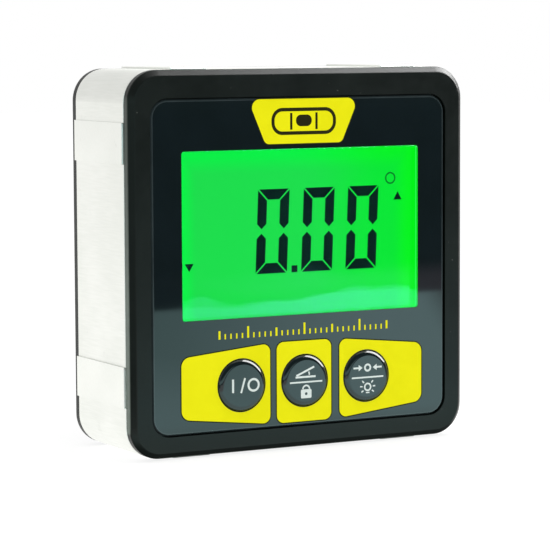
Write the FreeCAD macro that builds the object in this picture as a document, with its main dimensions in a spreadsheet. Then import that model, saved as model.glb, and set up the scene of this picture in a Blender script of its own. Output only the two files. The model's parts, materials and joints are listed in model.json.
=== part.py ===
# Digital inclinometer: an aluminium frame between a black front bezel and a black rear cover.
#
# Millimetres. X runs to the right as the display is read, Y from the front to the back, Z up.
# The origin lies under the middle of the object, in the plane of the two base lands.

import FreeCAD, Part
import math
import operator
import os
from types import SimpleNamespace

import Sketcher

# Driving dimensions: alias, value and what it measures.
DIMENSIONS = [
    ("frame_wall", 3.3, "frame's wall"),
    ("frame_chamfer", 0.15, "edge of the frame's front and back faces, lands included"),
    ("corner_radius", 5.0, "outer corners seen from the front"),
    ("inner_radius", 2.0, "corners of the frame's opening"),
    ("land_height", 0.3, "a raised land above its side of the frame"),
    ("land_width", 6.3, "one land"),
    ("land_inset", 11.4, "middle of a land from the body's corner"),
    ("bezel_front", 2.0, "bezel in front of the frame"),
    ("bezel_chamfer", 0.85, "bezel's front edge"),
    ("bezel_round", 0.3, "both borders of that chamfer"),
    ("bezel_floor", 1.4, "bezel behind the overlay"),
    ("skirt_depth", 3.0, "bezel's skirt inside the frame"),
    ("skirt_wall", 1.3, "bezel's skirt"),
    ("skirt_gap", 0.1, "skirt to the frame's opening"),
    ("rim_side", 3.6, "body's side to the front panel"),
    ("rim_top", 4.5, "body's top to the front panel"),
    ("rim_low", 3.5, "body's underside to the front panel"),
    ("overlay_radius", 2.8, "front panel's corners"),
    ("overlay_thickness", 0.8, "front panel"),
    ("overlay_recess", 0.2, "front panel's face behind the bezel's face"),
    ("overlay_gap", 0.2, "groove round the front panel"),
    ("overlay_edge", 0.2, "broken edge of the front panel"),
    ("window_width", 42.2, "clear window in the panel"),
    ("window_height", 26.0, "clear window in the panel"),
    ("window_shift", 0.15, "window's middle to the right"),
    ("window_radius", 0.4, "window's corners"),
    ("window_step", 0.9, "window's rear part beyond its front part"),
    ("window_room", 0.2, "window's rear part to the display"),
    ("window_gap", 0.05, "window to the panel and the bezel"),
    ("button_radius", 4.07, "button's cap"),
    ("button_shift", 0.4, "middle button to the right"),
    ("button_rise", 7.2, "buttons above the frame's opening"),
    ("button_proud", 0.5, "button's face in front of the panel"),
    ("button_crown", 0.8, "curved edge of a button's face, across"),
    ("button_drop", 0.5, "curved edge of a button's face, along"),
    ("button_gap", 0.12, "cap to the panel and the bezel"),
    ("button_travel", 0.5, "how far a button goes in"),
    ("button_seal_width", 0.78, "rubber ring round a cap"),
    ("button_seal_depth", 0.8, "rubber ring round a cap"),
    ("button_seal_gap", 0.05, "rubber ring to the cap"),
    ("flange_lip", 0.3, "cap's flange beyond its rubber ring"),
    ("flange_depth", 0.8, "thickness of the flange"),
    ("flange_room", 0.8, "from flange to flange"),
    ("stem_radius", 1.5, "button's stem"),
    ("switch_width", 6.0, "tact switch"),
    ("switch_height", 1.5, "tact switch above the board"),
    ("plunger_radius", 1.6, "switch plunger"),
    ("plunger_gap", 0.1, "plunger to its hole"),
    ("plunger_proud", 0.6, "plunger above the switch at rest"),
    ("plunger_inside", 0.6, "plunger inside the switch at rest"),
    ("polarizer_thickness", 0.2, "each polarizing film"),
    ("polarizer_margin", 1.2, "polarizing film beyond the window"),
    ("glass_thickness", 0.55, "each glass of the display"),
    ("diffuser_thickness", 0.15, "diffuser film"),
    ("guide_thickness", 1.6, "light guide"),
    ("guide_margin", 0.7, "light guide beyond the window"),
    ("reflector_thickness", 0.1, "reflector film"),
    ("lamp_width", 3.0, "back light lamp"),
    ("lamp_height", 1.1, "back light lamp"),
    ("lamp_depth", 1.4, "back light lamp"),
    ("lamp_pitch", 14.0, "from lamp to lamp"),
    ("lamp_gap", 0.075, "lamp to the light guide and the holder"),
    ("zebra_width", 1.6, "rubber connector"),
    ("zebra_gap", 0.15, "rubber connector to the rear glass and the holder"),
    ("zebra_inset", 3.0, "rubber connector's end to the glass's end"),
    ("holder_wall", 0.9, "display holder"),
    ("holder_gap", 0.1, "display glass to its holder"),
    ("holder_side_room", 0.3, "holder to the bezel's skirt, at least"),
    ("holder_low_room", 0.4, "holder to the flanges of the buttons"),
    ("holder_boss_room", 0.9, "holder to the upper bosses"),
    ("board_gap", 0.6, "board to the frame's opening"),
    ("board_thickness", 1.2, "main board"),
    ("board_room", 1.35, "board to the battery bay"),
    ("notch_gap", 0.4, "board's corner notch to the boss in it"),
    ("board_boss_radius", 1.9, "boss under the board"),
    ("board_boss_room", 1.7, "board's boss to the button or boss beside it"),
    ("board_boss_rise", 1.4, "lower board bosses above the buttons' middle"),
    ("board_screw_radius", 0.8, "board screw"),
    ("board_screw_depth", 2.4, "board screw in its boss"),
    ("board_head_radius", 1.5, "board screw's head"),
    ("board_head_height", 1.0, "board screw's head"),
    ("chip_width", 7.0, "controller chip"),
    ("chip_height", 1.2, "controller chip"),
    ("chip_room", 1.3, "controller chip to the battery bay"),
    ("sensor_width", 4.0, "tilt sensor"),
    ("sensor_height", 1.0, "tilt sensor"),
    ("chip_pitch", 11.0, "from chip to chip"),
    ("crystal_length", 5.0, "crystal's can"),
    ("crystal_radius", 0.7, "crystal's can"),
    ("capacitor_length", 1.6, "chip capacitor"),
    ("capacitor_width", 0.8, "chip capacitor"),
    ("capacitor_pitch", 3.0, "from capacitor to capacitor"),
    ("boss_inset", 3.0, "corner boss's middle to the frame's opening"),
    ("boss_radius", 2.3, "corner boss"),
    ("cover_boss", 5.0, "rear cover's corner boss, forward of the frame's back"),
    ("insert_radius", 1.6, "threaded insert"),
    ("insert_length", 4.0, "threaded insert"),
    ("insert_gap", 0.02, "threaded insert to its boss"),
    ("screw_radius", 1.0, "cover screw and door screw"),
    ("screw_gap", 0.15, "screw to its clearance hole"),
    ("screw_room", 0.8, "hole past the tip of a cover screw"),
    ("thread_gap", 0.02, "screw to the thread it turns in"),
    ("head_radius", 1.9, "cover screw's head and door screw's head"),
    ("head_height", 1.3, "cover screw's head"),
    ("head_below", 0.2, "cover screw's head below the cover's face"),
    ("head_gap", 0.15, "screw head to its recess"),
    ("cross_length", 2.0, "cross recess in a screw's head"),
    ("cross_width", 0.45, "cross recess in a screw's head"),
    ("cross_depth", 0.6, "cross recess in a screw's head"),
    ("cover_back", 2.3, "rear cover behind the frame"),
    ("cover_chamfer", 1.2, "rear cover's back edge"),
    ("cover_round", 0.3, "both borders of that chamfer"),
    ("cover_skirt_depth", 2.5, "rear cover's skirt inside the frame"),
    ("cover_skirt_wall", 1.7, "rear cover's skirt"),
    ("seal_width", 1.2, "gasket between the frame and its ends"),
    ("seal_depth", 0.6, "gasket between the frame and its ends"),
    ("seal_gap", 0.05, "gasket to the sides of its groove"),
    ("magnet_radius", 2.5, "base magnet"),
    ("magnet_thickness", 2.0, "base magnet"),
    ("magnet_recess", 0.1, "base magnet above the land's face"),
    ("magnet_inset", 3.8, "base magnet's middle to the frame's front or back"),
    ("magnet_gap", 0.05, "base magnet to its pocket"),
    ("cell_radius", 5.25, "battery"),
    ("cell_length", 44.5, "battery with its nub"),
    ("cell_edge", 0.5, "rounded ends of the battery's can"),
    ("nub_radius", 1.9, "battery's nub"),
    ("nub_height", 0.9, "battery's nub"),
    ("cell_spacing", 0.6, "from battery to battery"),
    ("cell_gap", 0.3, "battery to the door and the bay"),
    ("contact_thickness", 0.3, "battery contact"),
    ("contact_width", 8.0, "battery contact"),
    ("tab_width", 3.0, "contact's tab to the board"),
    ("tab_gap", 0.1, "tab to its slot"),
    ("spring_length", 3.2, "contact spring, pressed"),
    ("spring_radius", 2.6, "contact spring's middle line"),
    ("spring_wire", 0.25, "radius of the spring's wire"),
    ("spring_turns", 3.0, "turns of a contact spring"),
    ("bay_wall", 1.6, "battery bay's sides"),
    ("bay_floor", 1.0, "battery bay's floor"),
    ("bay_radius", 0.8, "battery bay's corners"),
    ("bay_room", 0.65, "battery bay to the frame's opening"),
    ("door_side", 3.05, "battery door beyond the bay, at its ends"),
    ("door_top", 6.4, "battery door beyond the bay, above and below"),
    ("door_radius", 2.5, "battery door's corners"),
    ("door_thickness", 1.5, "battery door"),
    ("door_gap", 0.15, "battery door to the cover"),
    ("door_edge", 0.3, "battery door's back edge"),
    ("door_web", 0.5, "battery door under the heads of its screws"),
    ("door_head_below", 0.1, "door screw's head below the door's face"),
    ("door_screw_inset", 2.6, "door screw's middle to the door's edge"),
    ("door_screw_depth", 3.4, "door screw in its boss"),
    ("door_boss_radius", 2.1, "door screw's boss"),
    ("door_boss_end", 1.4, "boss past the tip of a door screw"),
    ("door_seal_width", 0.8, "door gasket"),
    ("door_seal_depth", 0.4, "door gasket"),
    ("door_seal_inset", 0.4, "door gasket's groove to the bay's edge"),
]

SIDES = (-1, 1)
THREE = (-1, 0, 1)
CORNERS = [(across, up) for up in SIDES for across in SIDES]
BUTTON_NAMES = ("power", "hold", "zero")
START, END, CENTRE = range(1, 4)
ROOT = -1
UP_AXIS = -2
AXES = {"XY_Plane": 2, "XZ_Plane": 1, "YZ_Plane": 0}
OPERATIONS = {"+": operator.add, "-": operator.sub, "*": operator.mul, "/": operator.truediv}
TOUCH = 1e-6
QUARTER_TURN = math.pi / 2
FULL_TURN = 360


class Size:
    """A size with its value now and the sheet expression that gives it."""

    def __init__(self, value, text):
        self.value = value
        self.text = text

    def __add__(self, other):
        return combine(self, "+", other)

    def __sub__(self, other):
        return combine(self, "-", other)

    def __mul__(self, other):
        return combine(self, "*", other)

    def __truediv__(self, other):
        return combine(self, "/", other)

    def __neg__(self):
        return combine(0, "-", self)


def as_size(number):
    return number if isinstance(number, Size) else Size(float(number), f"({number})")


def combine(first, sign, second):
    first = as_size(first)
    second = as_size(second)
    value = OPERATIONS[sign](first.value, second.value)
    return Size(value, f"({first.text} {sign} {second.text})")


def larger(first, second):
    """The greater of two sizes, now and whenever the sheet changes."""
    return Size(max(first.value, second.value), f"max({first.text}; {second.text})")


def bind(thing, prop, size):
    thing.setExpression(prop, as_size(size).text)


# The document, its sheet, and the same dimensions by name.

doc = FreeCAD.newDocument("inclinometer")
sheet = doc.addObject("Spreadsheet::Sheet", "dims")
for row, (alias, value, meaning) in enumerate(DIMENSIONS, start=1):
    sheet.set(f"A{row}", alias)
    sheet.set(f"B{row}", str(value))
    sheet.set(f"C{row}", meaning)
    sheet.setAlias(f"B{row}", alias)
doc.recompute()

dims = SimpleNamespace(**{alias: Size(value, f"dims.{alias}") for alias, value, _ in DIMENSIONS})
sub_parts = []


# Sketch outlines. Each function returns one that draws itself, fully constrained, in a sketch.

def fix(sketch, kind, *where, size):
    size = as_size(size)
    index = sketch.addConstraint(Sketcher.Constraint(kind, *where, size.value))
    sketch.setExpression(f"Constraints[{index}]", size.text)


def place(sketch, geometry, point, x, y):
    fix(sketch, "DistanceX", ROOT, START, geometry, point, size=x)
    fix(sketch, "DistanceY", ROOT, START, geometry, point, size=y)


def disc(radius, x, y):
    def draw(sketch):
        centre = FreeCAD.Vector(as_size(x).value, as_size(y).value, 0)
        circle = sketch.addGeometry(Part.Circle(centre, FreeCAD.Vector(0, 0, 1), radius.value))
        fix(sketch, "Radius", circle, size=radius)
        place(sketch, circle, CENTRE, x, y)
    return draw


def rectangle(left, right, low, high):
    def draw(sketch):
        places = [(left, low), (right, low), (right, high), (left, high)]
        points = [FreeCAD.Vector(as_size(x).value, as_size(y).value, 0) for x, y in places]
        first = sketch.GeometryCount
        for side in range(4):
            sketch.addGeometry(Part.LineSegment(points[side], points[(side + 1) % 4]))
        for side in range(4):
            following = first + (side + 1) % 4
            sketch.addConstraint(Sketcher.Constraint("Coincident", first + side, END, following, START))
            kind = "Vertical" if side % 2 else "Horizontal"
            sketch.addConstraint(Sketcher.Constraint(kind, first + side))
        place(sketch, first, START, left, low)
        place(sketch, first + 2, START, right, high)
    return draw


def rounded(width, height, radius, x=0, y=0):
    """A rectangle about (x, y) with its corners rounded."""
    def draw(sketch):
        half_x = width / 2 - radius
        half_y = height / 2 - radius
        turns = [(1, 1), (-1, 1), (-1, -1), (1, -1)]
        centres = [(half_x * right + x, half_y * up + y) for right, up in turns]
        first = sketch.GeometryCount
        arcs = []
        for quarter, (centre_x, centre_y) in enumerate(centres):
            centre = FreeCAD.Vector(centre_x.value, centre_y.value, 0)
            circle = Part.Circle(centre, FreeCAD.Vector(0, 0, 1), radius.value)
            angle = quarter * QUARTER_TURN
            arcs.append(Part.ArcOfCircle(circle, angle, angle + QUARTER_TURN))
            sketch.addGeometry(arcs[-1])
        for quarter in range(4):
            following = (quarter + 1) % 4
            line = Part.LineSegment(arcs[quarter].EndPoint, arcs[following].StartPoint)
            side = sketch.addGeometry(line)
            sketch.addConstraint(Sketcher.Constraint("Tangent", first + quarter, END, side, START))
            sketch.addConstraint(Sketcher.Constraint("Tangent", side, END, first + following, START))
        fix(sketch, "Radius", first, size=radius)
        for quarter in range(1, 4):
            sketch.addConstraint(Sketcher.Constraint("Equal", first, first + quarter))
        for quarter, (centre_x, centre_y) in enumerate(centres):
            place(sketch, first + quarter, CENTRE, centre_x, centre_y)
    return draw


def turned_button(steps, crown, drop):
    """Half of a button's section. Its face bends down from a flat to a rim, and steps go on from
    there, as places across and along."""
    def draw(sketch):
        (rim_across, rim), *_, (_, last) = steps
        top = rim - drop
        flat = rim_across - crown
        bend = (crown * crown + drop * drop) / (drop * 2)
        corners = [(as_size(0), top), (flat, top), *steps, (as_size(0), last)]
        points = [FreeCAD.Vector(x.value, y.value, 0) for x, y in corners]
        count = len(points)
        for side in range(count):
            start, end = points[side], points[(side + 1) % count]
            if side == 1:
                centre = FreeCAD.Vector(flat.value, (top + bend).value, 0)
                circle = Part.Circle(centre, FreeCAD.Vector(0, 0, 1), bend.value)
                turn = math.asin(crown.value / bend.value)
                sketch.addGeometry(Part.ArcOfCircle(circle, -QUARTER_TURN, turn - QUARTER_TURN))
            else:
                sketch.addGeometry(Part.LineSegment(start, end))
        for side in range(count):
            following = (side + 1) % count
            sketch.addConstraint(Sketcher.Constraint("Coincident", side, END, following, START))
        for side in (0, count - 1):
            sketch.addConstraint(Sketcher.Constraint("PointOnObject", side, START, UP_AXIS))
            fix(sketch, "DistanceY", ROOT, START, side, START, size=corners[side][1])
        for side in range(1, count - 1):
            place(sketch, side, START, *corners[side])
        fix(sketch, "Radius", 1, size=bend)
    return draw


class Piece:
    """A sub-part drawn on planes square to one axis. Its pads and pockets run from their level
    along that axis, so on the usual plane they run from the front to the back."""

    def __init__(self, label, plane="XZ_Plane"):
        self.body = doc.addObject("PartDesign::Body", label)
        self.body.Label = label
        self.plane = plane
        self.forward = -1 if plane == "XZ_Plane" else 1

    def sketch(self, level, outlines, origin=(0, 0)):
        sketch = self.body.newObject("Sketcher::SketchObject", f"{self.body.Name}_sketch")
        planes = {feature.Role: feature for feature in self.body.Origin.OriginFeatures}
        sketch.AttachmentSupport = [(planes[self.plane], "")]
        sketch.MapMode = "FlatFace"
        bind(sketch, "AttachmentOffset.Base.x", origin[0])
        bind(sketch, "AttachmentOffset.Base.y", origin[1])
        bind(sketch, "AttachmentOffset.Base.z", as_size(level) * self.forward)
        for outline in outlines:
            outline(sketch)
        return sketch

    def pad(self, level, depth, *outlines):
        profile = self.sketch(level, outlines)
        pad = self.body.newObject("PartDesign::Pad", f"{self.body.Name}_pad")
        pad.Profile = profile
        pad.Reversed = self.forward < 0
        bind(pad, "Length", depth)

    def pocket(self, level, depth, *outlines):
        profile = self.sketch(level, outlines)
        pocket = self.body.newObject("PartDesign::Pocket", f"{self.body.Name}_pocket")
        pocket.Profile = profile
        pocket.Reversed = self.forward > 0
        bind(pocket, "Length", depth)

    def turn(self, level, outline, origin):
        """Turns a section once round the axis that runs along Y through its sketch's origin."""
        profile = self.sketch(level, [outline], origin)
        turned = self.body.newObject("PartDesign::Revolution", f"{self.body.Name}_turned")
        turned.Profile = profile
        turned.ReferenceAxis = (profile, ["V_Axis"])
        turned.Angle = FULL_TURN

    def soften(self, kind, level, size):
        """Breaks all edges that lie square to the axis at a level."""
        doc.recompute()
        axis = AXES[self.plane]
        tip = self.body.Tip
        names = [
            f"Edge{number}"
            for number, edge in enumerate(tip.Shape.Edges, start=1)
            if all(abs(corner.Point[axis] - level.value) < TOUCH for corner in edge.Vertexes)
        ]
        edges = self.body.newObject(f"PartDesign::{kind}", f"{self.body.Name}_edge")
        edges.Base = (tip, names)
        bind(edges, "Size" if kind == "Chamfer" else "Radius", size)

    def done(self):
        sub_parts.append(self.body)
        return self.body


def plate(label, level, depth, *outlines):
    piece = Piece(label)
    piece.pad(level, depth, *outlines)
    return piece.done()


def block(label, corner, size):
    """A plain box from its low corner."""
    box = doc.addObject("Part::Box", label)
    box.Label = label
    for prop, length in zip(("Length", "Width", "Height"), size):
        bind(box, prop, length)
    for axis, where in zip("xyz", corner):
        bind(box, f"Placement.Base.{axis}", where)
    return box


def group(label, shapes):
    """Like pieces that share one node as separate solids."""
    compound = doc.addObject("Part::Compound", label)
    compound.Label = label
    compound.Links = shapes
    sub_parts.append(compound)


# Depths from the bezel's face, and then the levels themselves, about the middle of the whole depth.

display_depth = (
    dims.polarizer_thickness * 2
    + dims.glass_thickness * 2
    + dims.diffuser_thickness
    + dims.guide_thickness
    + dims.reflector_thickness
)
front_depth = dims.overlay_recess + dims.overlay_thickness + dims.bezel_floor
bay_depth = dims.bay_floor + dims.cell_radius * 2 + dims.cell_gap * 2
board_depth = dims.board_thickness + dims.board_room
body_depth = front_depth + display_depth + board_depth + bay_depth + dims.door_thickness
button_height = dims.button_proud - dims.overlay_recess

button_face = -((body_depth + button_height) / 2)
bezel_face = button_face + button_height
overlay_face = bezel_face + dims.overlay_recess
overlay_rear = overlay_face + dims.overlay_thickness
floor_rear = overlay_rear + dims.bezel_floor
front_glass_face = floor_rear + dims.polarizer_thickness
rear_glass_face = front_glass_face + dims.glass_thickness
rear_polarizer_face = rear_glass_face + dims.glass_thickness
diffuser_face = rear_polarizer_face + dims.polarizer_thickness
guide_face = diffuser_face + dims.diffuser_thickness
reflector_face = guide_face + dims.guide_thickness
board_face = reflector_face + dims.reflector_thickness
board_rear = board_face + dims.board_thickness
bay_floor_face = board_rear + dims.board_room
bay_floor_rear = bay_floor_face + dims.bay_floor
cell_level = bay_floor_rear + dims.cell_gap + dims.cell_radius
door_seat = cell_level + dims.cell_radius + dims.cell_gap
cover_face = door_seat + dims.door_thickness
frame_front = bezel_face + dims.bezel_front
frame_rear = cover_face - dims.cover_back
frame_depth = frame_rear - frame_front

boss_joint = frame_rear - dims.cover_boss
insert_face = boss_joint - dims.insert_length
head_seat = cover_face - dims.head_below - dims.head_height
door_head_depth = dims.door_thickness - dims.door_web
door_head_seat = cover_face - door_head_depth
door_screw_tip = door_seat - dims.door_screw_depth

# Widths and heights. The frame's opening takes the batteries and the display side by side with
# their walls, and the buttons under the display. All the rest follows the opening.

flange_radius = (
    dims.button_radius + dims.button_seal_gap + dims.button_seal_width + dims.flange_lip
)
button_pitch = flange_radius * 2 + dims.flange_room
glass_margin = dims.guide_margin + dims.lamp_height + dims.lamp_gap * 2
glass_ledge = dims.zebra_width + dims.zebra_gap * 2
glass_width = dims.window_width + glass_margin * 2
glass_height = dims.window_height + glass_margin * 2
front_glass_height = glass_height + glass_ledge
holder_edge = dims.holder_gap + dims.holder_wall

bay_width = dims.cell_length + dims.spring_length + dims.contact_thickness * 2
bay_height = dims.cell_radius * 4 + dims.cell_spacing + dims.cell_gap * 2
bay_end = bay_width / 2
contact_face = bay_end - dims.contact_thickness
battery_span = bay_width + dims.bay_wall * 2 + dims.bay_room * 2
skirt_edge = dims.holder_side_room + dims.skirt_wall + dims.skirt_gap
display_span = glass_width + holder_edge * 2 + skirt_edge * 2 + dims.window_shift * 2
opening_width = larger(battery_span, display_span)

opening_low = dims.land_height + dims.frame_wall
button_up = opening_low + dims.button_rise
holder_low = button_up + flange_radius + dims.holder_low_room
front_glass_middle = holder_low + holder_edge + front_glass_height / 2
window_middle = front_glass_middle + glass_ledge / 2
holder_high = holder_low + holder_edge * 2 + front_glass_height
boss_reach = dims.boss_inset + dims.boss_radius
opening_high = holder_high + dims.holder_boss_room + boss_reach
opening_height = opening_high - opening_low
middle = (opening_low + opening_high) / 2

outer_width = opening_width + dims.frame_wall * 2
outer_height = opening_height + dims.frame_wall * 2
body_width = outer_width + dims.land_height * 2
body_height = outer_height + dims.land_height * 2
overlay_width = outer_width - dims.rim_side * 2
overlay_height = outer_height - dims.rim_top - dims.rim_low
overlay_middle = middle + (dims.rim_low - dims.rim_top) / 2
door_width = bay_width + dims.door_side * 2
door_height = bay_height + dims.door_top * 2

# Places across and up.

button_places = [(dims.button_shift + button_pitch * step, button_up) for step in THREE]
cell_places = [middle + (dims.cell_radius + dims.cell_spacing / 2) * side for side in SIDES]
corner_across = opening_width / 2 - dims.boss_inset
corner_up = opening_height / 2 - dims.boss_inset
corner_places = [(corner_across * across, middle + corner_up * up) for across, up in CORNERS]
low_boss_across = button_places[-1][0] + flange_radius + dims.board_boss_room + dims.board_boss_radius
high_boss_across = corner_across - dims.boss_radius - dims.board_boss_room - dims.board_boss_radius
high_boss_up = holder_high + dims.holder_boss_room + dims.board_boss_radius
board_screw_places = [
    (across * side, up)
    for across, up in (
        (low_boss_across, button_up + dims.board_boss_rise),
        (high_boss_across, high_boss_up),
    )
    for side in SIDES
]
door_screw_up = door_height / 2 - dims.door_screw_inset
door_screw_places = [(as_size(0), middle + door_screw_up * side) for side in SIDES]


def discs(radius, places):
    return [disc(radius, x, y) for x, y in places]


def about_opening(margin, radius):
    """The outline of the frame's opening, wider by a margin on every side."""
    return rounded(opening_width + margin * 2, opening_height + margin * 2, radius, 0, middle)


def body_outline():
    return about_opening(dims.frame_wall, dims.corner_radius)


def skirt_outline():
    return about_opening(-dims.skirt_gap, dims.inner_radius - dims.skirt_gap)


def inside_skirt(wall):
    return about_opening(-dims.skirt_gap - wall, (dims.inner_radius - dims.skirt_gap) / 2)


def window_outline(margin):
    """The window's outline, wider by a margin on every side."""
    width = dims.window_width + margin * 2
    height = dims.window_height + margin * 2
    return rounded(width, height, dims.window_radius, dims.window_shift, window_middle)


def overlay_outline(margin):
    width = overlay_width + margin * 2
    height = overlay_height + margin * 2
    return rounded(width, height, dims.overlay_radius + margin, 0, overlay_middle)


def seal_outlines(gap):
    """Both edges of a gasket's path round the frame's end, in by a gap on each side."""
    half_wall = dims.frame_wall / 2
    for side in SIDES:
        step = (dims.seal_width / 2 - gap) * side
        yield about_opening(half_wall + step, dims.corner_radius - half_wall + step)


def bay_outline(margin):
    width = bay_width + margin * 2
    height = bay_height + margin * 2
    return rounded(width, height, dims.bay_radius + margin, 0, middle)


def door_seal_outlines(gap):
    inner = dims.door_seal_inset + gap
    outer_edge = dims.door_seal_inset + dims.door_seal_width - gap
    yield bay_outline(inner)
    yield bay_outline(outer_edge)


# Frame

def land_outlines():
    """Eight lands, two on each side, rooted in the frame's wall."""
    root = dims.land_height + dims.frame_wall / 2
    half = dims.land_width / 2
    for side in SIDES:
        left, right = in_order(body_width / 2 * side, (body_width / 2 - root) * side)
        low, high = in_order(body_height / 2 * side, (body_height / 2 - root) * side)
        for other in SIDES:
            up_other = middle + (body_height / 2 - dims.land_inset) * other
            across_other = (body_width / 2 - dims.land_inset) * other
            yield rectangle(left, right, up_other - half, up_other + half)
            yield rectangle(across_other - half, across_other + half, middle + low, middle + high)


def in_order(first, second):
    return sorted((first, second), key=lambda size: size.value)


def body_frame():
    frame = Piece("body_frame")
    frame.pad(frame_front, frame_depth, body_outline())
    frame.pad(frame_front, frame_depth, *land_outlines())
    frame.soften("Chamfer", frame_front, dims.frame_chamfer)
    frame.soften("Chamfer", frame_rear, dims.frame_chamfer)
    frame.pocket(frame_front, frame_depth, about_opening(as_size(0), dims.inner_radius))
    frame.plane = "XY_Plane"
    frame.forward = 1
    pockets = discs(dims.magnet_radius + dims.magnet_gap, magnet_places())
    frame.pocket(as_size(0), dims.magnet_recess + dims.magnet_thickness, *pockets)
    return frame.done()


def magnet_places():
    for side in SIDES:
        for level in (frame_front + dims.magnet_inset, frame_rear - dims.magnet_inset):
            yield (body_width / 2 - dims.land_inset) * side, level


def base_magnets():
    for number, (x, y) in enumerate(magnet_places(), start=1):
        magnet = Piece(f"base_magnet_{number}", "XY_Plane")
        magnet.pad(dims.magnet_recess, dims.magnet_thickness, disc(dims.magnet_radius, x, y))
        magnet.done()


def frame_seals():
    plate("front_seal", frame_front - dims.seal_depth, dims.seal_depth, *seal_outlines(dims.seal_gap))
    plate("rear_seal", frame_rear, dims.seal_depth, *seal_outlines(dims.seal_gap))


# Front

def front_bezel():
    bezel = Piece("front_bezel")
    bezel.pad(bezel_face, dims.bezel_front, body_outline())
    bezel.soften("Chamfer", bezel_face, dims.bezel_chamfer)
    bezel.soften("Fillet", bezel_face, dims.bezel_round)
    bezel.soften("Fillet", bezel_face + dims.bezel_chamfer, dims.bezel_round)
    bezel.pad(frame_front, dims.skirt_depth, skirt_outline())
    skirt_end = frame_front + dims.skirt_depth
    bezel.pocket(floor_rear, skirt_end - floor_rear, inside_skirt(dims.skirt_wall))
    bezel.pad(floor_rear, boss_joint - floor_rear, *discs(dims.boss_radius, corner_places))
    bezel.pad(floor_rear, board_face - floor_rear, *discs(dims.board_boss_radius, board_screw_places))
    bezel.pocket(bezel_face, overlay_rear - bezel_face, overlay_outline(dims.overlay_gap))
    bezel.pocket(overlay_rear, dims.bezel_floor, window_outline(dims.window_step + dims.window_gap))
    cap_hole = dims.button_radius + dims.button_gap
    bezel.pocket(overlay_rear, dims.bezel_floor, *discs(cap_hole, button_places))
    seal_face = floor_rear - dims.button_seal_depth
    seal_edge = flange_radius - dims.flange_lip
    bezel.pocket(seal_face, dims.button_seal_depth, *discs(seal_edge, button_places))
    bezel.pocket(frame_front - dims.seal_depth, dims.seal_depth, *seal_outlines(as_size(0)))
    insert_hole = dims.insert_radius + dims.insert_gap
    bezel.pocket(insert_face, dims.insert_length, *discs(insert_hole, corner_places))
    tip_hole = dims.screw_radius + dims.screw_gap
    bezel.pocket(insert_face - dims.screw_room, dims.screw_room, *discs(tip_hole, corner_places))
    screw_hole = dims.board_screw_radius + dims.thread_gap
    depth = dims.board_screw_depth + dims.thread_gap
    bezel.pocket(board_face - depth, depth, *discs(screw_hole, board_screw_places))
    return bezel.done()


def front_overlay():
    overlay = Piece("front_overlay")
    overlay.pad(overlay_face, dims.overlay_thickness, overlay_outline(as_size(0)))
    overlay.soften("Chamfer", overlay_face, dims.overlay_edge)
    overlay.pocket(overlay_face, dims.overlay_thickness, window_outline(as_size(0)))
    cap_hole = dims.button_radius + dims.button_gap
    overlay.pocket(overlay_face, dims.overlay_thickness, *discs(cap_hole, button_places))
    return overlay.done()


def display_window():
    window = Piece("display_window")
    window.pad(overlay_face, dims.overlay_thickness, window_outline(-dims.window_gap))
    window.pad(overlay_rear, dims.bezel_floor - dims.window_room, window_outline(dims.window_step))
    return window.done()


def buttons():
    """Crowned caps with the seal round each, and the switch and plunger behind it."""
    switch_face = board_face - dims.switch_height
    plunger_face = switch_face - dims.plunger_proud
    stem_face = floor_rear + dims.flange_depth
    steps = [
        (dims.button_radius, button_face + dims.button_drop),
        (dims.button_radius, floor_rear),
        (flange_radius, floor_rear),
        (flange_radius, stem_face),
        (dims.stem_radius, stem_face),
        (dims.stem_radius, plunger_face),
    ]
    for name, (x, z) in zip(BUTTON_NAMES, button_places):
        button = Piece(f"button_{name}", "XY_Plane")
        section = turned_button(steps, dims.button_crown, dims.button_drop)
        button.turn(z, section, (x, 0))
        button.done()

        seal_hole = dims.button_radius + dims.button_seal_gap
        plate(f"button_seal_{name}", floor_rear - dims.button_seal_depth, dims.button_seal_depth,
              disc(seal_hole + dims.button_seal_width, x, z), disc(seal_hole, x, z))

        half = dims.switch_width / 2
        switch = Piece(f"switch_body_{name}")
        switch.pad(switch_face, dims.switch_height, rectangle(x - half, x + half, z - half, z + half))
        room = dims.plunger_inside + dims.button_travel + dims.plunger_gap
        switch.pocket(switch_face, room, disc(dims.plunger_radius + dims.plunger_gap, x, z))
        switch.done()

        plate(f"switch_plunger_{name}", plunger_face, dims.plunger_proud + dims.plunger_inside,
              disc(dims.plunger_radius, x, z))


# Display

def display_layer(label, level, thickness, margin):
    plate(label, level, thickness, window_outline(margin))


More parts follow.
